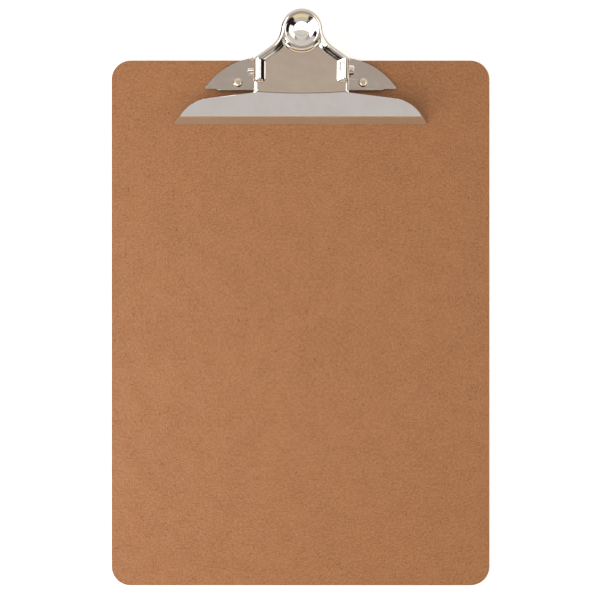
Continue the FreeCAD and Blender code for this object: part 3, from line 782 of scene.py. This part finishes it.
def tube(path, radius, sides=14):
    """Round wire along a path, with slightly rounded ends."""
    path = np.asarray(path, float)
    tangents = np.gradient(path, axis=0)
    tangents /= np.linalg.norm(tangents, axis=1)[:, None]
    turns = np.linspace(0, 2 * math.pi, sides + 1)
    across = np.array([1.0, 0, 0])
    circles = []
    for tangent in tangents:
        across = across - tangent * (across @ tangent)
        across /= np.linalg.norm(across)
        up = np.cross(tangent, across)
        circles.append(np.array([across * math.cos(t) + up * math.sin(t) for t in turns]))
    # Radius share and distance along the wire, from the tip inwards.
    caps = ((0.0, 0.0), (0.55, 0.0), (0.85, 0.12), (1.0, 0.35))
    rows = []
    for share, along in caps:
        tip = path[0] - tangents[0] * radius * (0.35 - along)
        rows.append(tip + circles[0] * radius * share)
    for point, circle in zip(path[1:-1], circles[1:-1]):
        rows.append(point + circle * radius)
    for share, along in reversed(caps):
        tip = path[-1] + tangents[-1] * radius * (0.35 - along)
        rows.append(tip + circles[-1] * radius * share)
    skin = Skin()
    skin.grid(np.array(rows))
    return skin.joined()


def build_spring(side, name):
    """Coil round the pin, one leg on the base plate and one under the lever."""
    hinge = np.array([0, *PIVOT])
    first = BASE_LEG_ANGLE - 90
    sweep = 360 * SPRING_TURNS + first - (LEVER_LEG_ANGLE + 90)
    helix = []
    for t in np.linspace(0, 1, 170):
        point = hinge + direction(first - sweep * t) * SPRING_COIL
        point[0] = SPRING_X[0] + (SPRING_X[1] - SPRING_X[0]) * t
        helix.append(point)
    base_knee = helix[0] + direction(BASE_LEG_ANGLE) * BASE_LEG[0]
    base_end = base_knee + direction(0) * BASE_LEG[1]
    lever_knee = helix[-1] + direction(LEVER_LEG_ANGLE) * LEVER_LEG[0]
    lever_end = lever_knee + direction(math.degrees(TILT)) * LEVER_LEG[1]
    base_leg = rounded_path([base_end, base_knee, helix[0]], [BASE_LEG[2]], 5)
    lever_leg = rounded_path([helix[-1], lever_knee, lever_end], [LEVER_LEG[2]], 5)
    path = np.concatenate([base_leg, helix[1:-1], lever_leg])
    path[:, 0] *= side
    spring = finish_mesh(tube(path, SPRING_WIRE), name)
    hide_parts("spring_right" if side > 0 else "spring_left")
    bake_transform(spring)
    return spring


# ---- materials ----------------------------------------------------------------------
class Nodes:
    """Short way to write a material's nodes."""

    def __init__(self, name):
        self.material = bpy.data.materials.new(name)
        self.material.use_nodes = True
        self.tree = self.material.node_tree
        self.tree.nodes.clear()
        self.output = self.tree.nodes.new("ShaderNodeOutputMaterial")
        self.shader = self.node("ShaderNodeBsdfPrincipled")
        self.link(self.shader, "BSDF", self.output, "Surface")
        self.place = self.node("ShaderNodeTexCoord")

    def node(self, kind, **settings):
        made = self.tree.nodes.new(kind)
        for key, value in settings.items():
            setattr(made, key, value)
        return made

    def link(self, a, out, b, into):
        self.tree.links.new(a.outputs[out], b.inputs[into])

    def stretched(self, scale):
        """Object coordinates in metres, times a scale for each axis."""
        mapping = self.node("ShaderNodeMapping")
        mapping.inputs["Scale"].default_value = scale
        self.link(self.place, "Object", mapping, "Vector")
        return mapping

    def noise(self, scale, detail, roughness, at=None):
        """Noise with this many features to the metre."""
        made = self.node("ShaderNodeTexNoise")
        made.inputs["Scale"].default_value = scale
        made.inputs["Detail"].default_value = detail
        made.inputs["Roughness"].default_value = roughness
        self.link(at or self.place, "Vector" if at else "Object", made, "Vector")
        return made

    def ramp(self, source, output, low, high, to_low, to_high):
        """Smooth step from to_low to to_high while the source goes from low to high."""
        made = self.node("ShaderNodeMapRange", interpolation_type="SMOOTHSTEP")
        limits = {"From Min": low, "From Max": high, "To Min": to_low, "To Max": to_high}
        for key, value in limits.items():
            made.inputs[key].default_value = value
        self.link(source, output, made, "Value")
        return made

    def math(self, operation, a, b):
        made = self.node("ShaderNodeMath", operation=operation)
        for index, value in enumerate((a, b)):
            if isinstance(value, (int, float)):
                made.inputs[index].default_value = value
            else:
                self.tree.links.new(value, made.inputs[index])
        return made

    def mix(self, share, a, b):
        """Colour between a and b."""
        made = self.node("ShaderNodeMix", data_type="RGBA")
        for socket, value in ((made.inputs[0], share), (made.inputs[6], a), (made.inputs[7], b)):
            if isinstance(value, (int, float)):
                socket.default_value = value
            elif isinstance(value, tuple):
                socket.default_value = (*value, 1)
            else:
                self.tree.links.new(value, socket)
        return made.outputs[2]

    def bump(self, height, distance, strength, after=None):
        """Bump with its distance in metres, on top of another bump if there is one."""
        made = self.node("ShaderNodeBump")
        made.inputs["Strength"].default_value = strength
        made.inputs["Distance"].default_value = distance
        self.tree.links.new(height, made.inputs["Height"])
        if after:
            self.link(after, "Normal", made, "Normal")
        return made


def hardboard():
    """Oil-tempered hardboard: pressed fibres, soft mottles and a few dark specks."""
    m = Nodes("hardboard")
    light = (0.364, 0.146, 0.045)
    dark = (0.268, 0.101, 0.028)
    fibre = (0.432, 0.189, 0.066)
    pore = (0.176, 0.063, 0.018)
    speck_brown = (0.128, 0.049, 0.018)
    fibres = m.noise(620, 3, 0.65)
    grain = m.noise(1250, 2, 0.6)
    cloud = m.noise(110, 3, 0.55)
    wide = m.noise(32, 2, 0.5)
    colour = m.mix(m.ramp(cloud, "Fac", 0.32, 0.68, 0.32, 0.68).outputs[0], light, dark)
    colour = m.mix(m.ramp(wide, "Fac", 0.3, 0.7, 0.0, 0.35).outputs[0], colour, dark)
    colour = m.mix(m.ramp(fibres, "Fac", 0.35, 0.66, 0.0, 0.62).outputs[0], colour, fibre)
    colour = m.mix(m.ramp(grain, "Fac", 0.44, 0.66, 0.0, 0.62).outputs[0], colour, pore)
    specks = m.noise(900, 1, 0.4)
    spread = m.noise(240, 1, 0.5)
    speck = m.math("MULTIPLY", m.ramp(specks, "Fac", 0.64, 0.72, 0, 1).outputs[0],
                   m.ramp(spread, "Fac", 0.5, 0.62, 0, 1).outputs[0])
    colour = m.mix(speck.outputs[0], colour, speck_brown)
    m.tree.links.new(colour, m.shader.inputs["Base Color"])
    m.link(m.ramp(cloud, "Fac", 0.3, 0.7, 0.48, 0.60), 0, m.shader, "Roughness")
    m.shader.inputs["Specular IOR Level"].default_value = 0.5
    half_grain = m.math("MULTIPLY", grain.outputs["Fac"], 0.5)
    height = m.math("ADD", fibres.outputs["Fac"], half_grain.outputs[0])
    m.link(m.bump(height.outputs[0], 0.00004, 0.6), "Normal", m.shader, "Normal")
    return m.material


def plated(name, colour, low, high, wave=0.00006, scratch=0.12, lip_wear=0.0):
    """Nickel plate over steel: soft waves, fine grain, hairlines and uneven polish.

    low and high bound the roughness, wave is the bump's depth in metres, and lip_wear is
    added to the roughness on the jaw's lip.
    """
    m = Nodes(name)
    m.shader.inputs["Metallic"].default_value = 1.0
    cloud = m.noise(70, 3, 0.55)
    fine = m.noise(900, 2, 0.5)
    dull = tuple(c * s for c, s in zip(colour, (0.965, 0.95, 0.93)))
    tone = m.mix(m.ramp(cloud, "Fac", 0.3, 0.7, 0, 1).outputs[0], colour, dull)
    m.tree.links.new(tone, m.shader.inputs["Base Color"])
    hair = m.noise(60, 2, 0.7, at=m.stretched((1, 26, 26)))
    rough = m.math("ADD", m.ramp(cloud, "Fac", 0.3, 0.7, low, high).outputs[0],
                   m.ramp(hair, "Fac", 0.55, 0.8, 0, scratch).outputs[0])
    if lip_wear:
        parts = m.node("ShaderNodeSeparateXYZ")
        m.link(m.place, "Object", parts, "Vector")
        worn = m.ramp(parts, "Y", *LIP_WORN, lip_wear, 0.0)
        rough = m.math("ADD", rough.outputs[0], worn.outputs[0])
    m.link(rough, 0, m.shader, "Roughness")
    soft = m.noise(95, 1, 0.4)
    first = m.bump(soft.outputs["Fac"], wave, 1.0)
    second = m.bump(fine.outputs["Fac"], 0.000004, 0.5, after=first)
    m.link(second, "Normal", m.shader, "Normal")
    return m.material


def wire_steel():
    """Darker drawn wire of the springs."""
    m = Nodes("spring_wire_steel")
    m.shader.inputs["Metallic"].default_value = 1.0
    drawn = m.noise(400, 2, 0.6)
    bright = (0.42, 0.41, 0.40)
    dull = (0.33, 0.32, 0.31)
    tone = m.mix(m.ramp(drawn, "Fac", 0.3, 0.7, 0, 1).outputs[0], bright, dull)
    m.tree.links.new(tone, m.shader.inputs["Base Color"])
    m.link(m.ramp(drawn, "Fac", 0.3, 0.7, 0.28, 0.42), 0, m.shader, "Roughness")
    m.link(m.bump(drawn.outputs["Fac"], 0.00001, 0.6), "Normal", m.shader, "Normal")
    return m.material


def paint(piece, material):
    piece.data.materials.clear()
    piece.data.materials.append(material)


# ---- light, floor and camera ----------------------------------------------------------
def softbox(name, centre, sides, watts):
    """Rectangular lamp aimed at the clip."""
    data = bpy.data.lights.new(name, "AREA")
    data.shape = "RECTANGLE"
    data.size = sides[0]
    data.size_y = sides[1]
    data.energy = watts
    lamp = bpy.data.objects.new(name, data)
    bpy.context.scene.collection.objects.link(lamp)
    lamp.location = centre
    aim = Vector(CLIP) - Vector(centre)
    lamp.rotation_euler = aim.to_track_quat("-Z", "Y").to_euler()
    lamp.visible_camera = False


def world_light():
    """Room mirrored by the bright metal: dim ceiling, grey walls, warm south, dark gaps."""
    world = bpy.data.worlds.new("room")
    bpy.context.scene.world = world
    world.use_nodes = True
    tree = world.node_tree
    tree.nodes.clear()
    link = tree.links.new
    output = tree.nodes.new("ShaderNodeOutputWorld")
    background = tree.nodes.new("ShaderNodeBackground")
    link(background.outputs[0], output.inputs[0])
    place = tree.nodes.new("ShaderNodeTexCoord")
    parts = tree.nodes.new("ShaderNodeSeparateXYZ")
    link(place.outputs["Generated"], parts.inputs[0])

    def angle(first, second, reach):
        made = tree.nodes.new("ShaderNodeMath")
        made.operation = "ARCTAN2"
        link(parts.outputs[first], made.inputs[0])
        link(parts.outputs[second], made.inputs[1])
        scaled = tree.nodes.new("ShaderNodeMapRange")
        scaled.inputs["From Min"].default_value = -reach
        scaled.inputs["From Max"].default_value = reach
        link(made.outputs[0], scaled.inputs["Value"])
        return scaled.outputs[0]

    def ramp(source, stops, reach):
        made = tree.nodes.new("ShaderNodeValToRGB")
        elements = made.color_ramp.elements
        while len(elements) > 1:
            elements.remove(elements[-1])
        for index, (degrees, colour) in enumerate(stops):
            position = (degrees + reach) / (2 * reach)
            element = elements[0] if index == 0 else elements.new(position)
            element.position = position
            element.color = (*colour, 1)
        link(source, made.inputs[0])
        return made.outputs[0]

    grey_north = (0.78, 0.76, 0.74)
    zenith = (0.46, 0.40, 0.36)
    beige = (0.63, 0.53, 0.44)
    tan = (0.44, 0.365, 0.305)
    dark = (0.26, 0.21, 0.17)
    grey_south = (0.68, 0.66, 0.67)
    warm = (1.0, 0.86, 0.46)
    # Along the meridian, from the south horizon (-90) over the zenith to the north one (90).
    stops = [(-90, warm), (-80, warm), (-68, grey_south), (-46, grey_south), (-41, dark),
             (-31, dark), (-26, beige), (-15, tan), (-3, zenith), (11, zenith),
             (16, grey_north), (90, grey_north)]
    meridian = ramp(angle("Y", "Z", math.pi / 2), stops, 90)
    black = (0.035, 0.028, 0.026)
    white = (1, 1, 1)
    # Round the horizon from east (0) over north (90): white keeps the meridian's colour.
    stops = [(-180, black), (-114, black), (-110, white), (-62, white), (-57, black),
             (-6, black), (0, white), (164, white), (170, black), (180, black)]
    walls = ramp(angle("Y", "X", math.pi), stops, 180)
    height = tree.nodes.new("ShaderNodeMapRange")
    height.interpolation_type = "SMOOTHSTEP"
    height.inputs["From Min"].default_value = math.cos(math.radians(WALLS_FADE[1]))
    height.inputs["From Max"].default_value = math.cos(math.radians(WALLS_FADE[0]))
    height.inputs["To Min"].default_value = 1.0
    height.inputs["To Max"].default_value = 0.0
    link(parts.outputs["Z"], height.inputs["Value"])
    both = tree.nodes.new("ShaderNodeMix")
    both.data_type = "RGBA"
    both.blend_type = "MULTIPLY"
    link(height.outputs[0], both.inputs[0])
    link(meridian, both.inputs[6])
    link(walls, both.inputs[7])
    link(both.outputs[2], background.inputs["Color"])


def floor_material():
    """Pale and slightly glowing; clear from underneath, so that the board's back shows."""
    m = Nodes("studio_floor")
    m.shader.inputs["Base Color"].default_value = FLOOR_COLOUR
    m.shader.inputs["Roughness"].default_value = 0.8
    m.shader.inputs["Emission Color"].default_value = (1, 1, 1, 1)
    m.shader.inputs["Emission Strength"].default_value = FLOOR_GLOW
    side = m.node("ShaderNodeNewGeometry")
    clear = m.node("ShaderNodeBsdfTransparent")
    both = m.node("ShaderNodeMixShader")
    m.link(side, "Backfacing", both, "Fac")
    m.tree.links.new(m.shader.outputs["BSDF"], both.inputs[1])
    m.tree.links.new(clear.outputs["BSDF"], both.inputs[2])
    m.link(both, "Shader", m.output, "Surface")
    return m.material


def studio():
    world_light()
    softbox("softbox_left", *SOFTBOX_LEFT)
    softbox("softbox_right", *SOFTBOX_RIGHT)
    bm = bmesh.new()
    bmesh.ops.create_grid(bm, x_segments=2, y_segments=2, size=FLOOR_REACH)
    mesh = bpy.data.meshes.new("floor")
    bm.to_mesh(mesh)
    bm.free()
    floor = bpy.data.objects.new("floor", mesh)
    floor.location.z = cad_low.z - FLOOR_GAP
    bpy.context.scene.collection.objects.link(floor)
    paint(floor, floor_material())


def camera():
    data = bpy.data.cameras.new("camera")
    data.sensor_width = SENSOR_MM
    data.lens = SENSOR_MM * CAMERA_HEIGHT / FRAME_WIDTH
    data.clip_end = CAMERA_CLIP_END
    data.shift_x = CAMERA_ASIDE / FRAME_WIDTH
    eye = bpy.data.objects.new("camera", data)
    bpy.context.scene.collection.objects.link(eye)
    x, y = FRAME_CENTRE
    eye.location = (x - CAMERA_ASIDE, y, BOARD_TOP * MM + CAMERA_HEIGHT)
    bpy.context.scene.camera = eye
    bpy.context.scene.view_settings.view_transform = "Standard"


def main():
    camera()
    studio()
    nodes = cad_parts
    nickel = plated("nickel_plate_jaw", (0.78, 0.745, 0.70), 0.06, 0.11, wave=0.00016,
                    lip_wear=0.38)
    nickel_base = plated("nickel_plate_base", (0.76, 0.72, 0.67), 0.12, 0.20)
    nickel_pin = plated("nickel_plate_pin", (0.76, 0.71, 0.64), 0.08, 0.14, wave=0.00001)
    rivet_metal = plated("rivet_nickel", (0.79, 0.69, 0.56), 0.20, 0.30, wave=0.00001)
    steel = plated("washer_steel_bright", (0.60, 0.59, 0.57), 0.22, 0.34, wave=0.00001)
    wire = wire_steel()
    paint(nodes["board"], hardboard())

    jaw = build_jaw_plate()
    paint(jaw, nickel)
    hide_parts("jaw_plate")
    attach(jaw, "jaw")

    plate = build_base_plate()
    paint(plate, nickel_base)
    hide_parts("base_plate")
    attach(plate, "base")

    pin = build_pin()
    paint(pin, nickel_pin)
    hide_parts("hinge_pin")
    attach(pin, "base")

    for side, word in ((-1, "left"), (1, "right")):
        rivet = build_rivet(side, "rivet_domed_" + word)
        paint(rivet, rivet_metal)
        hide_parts("rivet_" + word)
        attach(rivet, "base")
        washer = build_washer(side, "washer_" + word)
        paint(washer, steel)
        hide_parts("rivet_washer_" + word)
        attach(washer, "base")
        spring = build_spring(side, "torsion_spring_" + word)
        paint(spring, wire)


main()
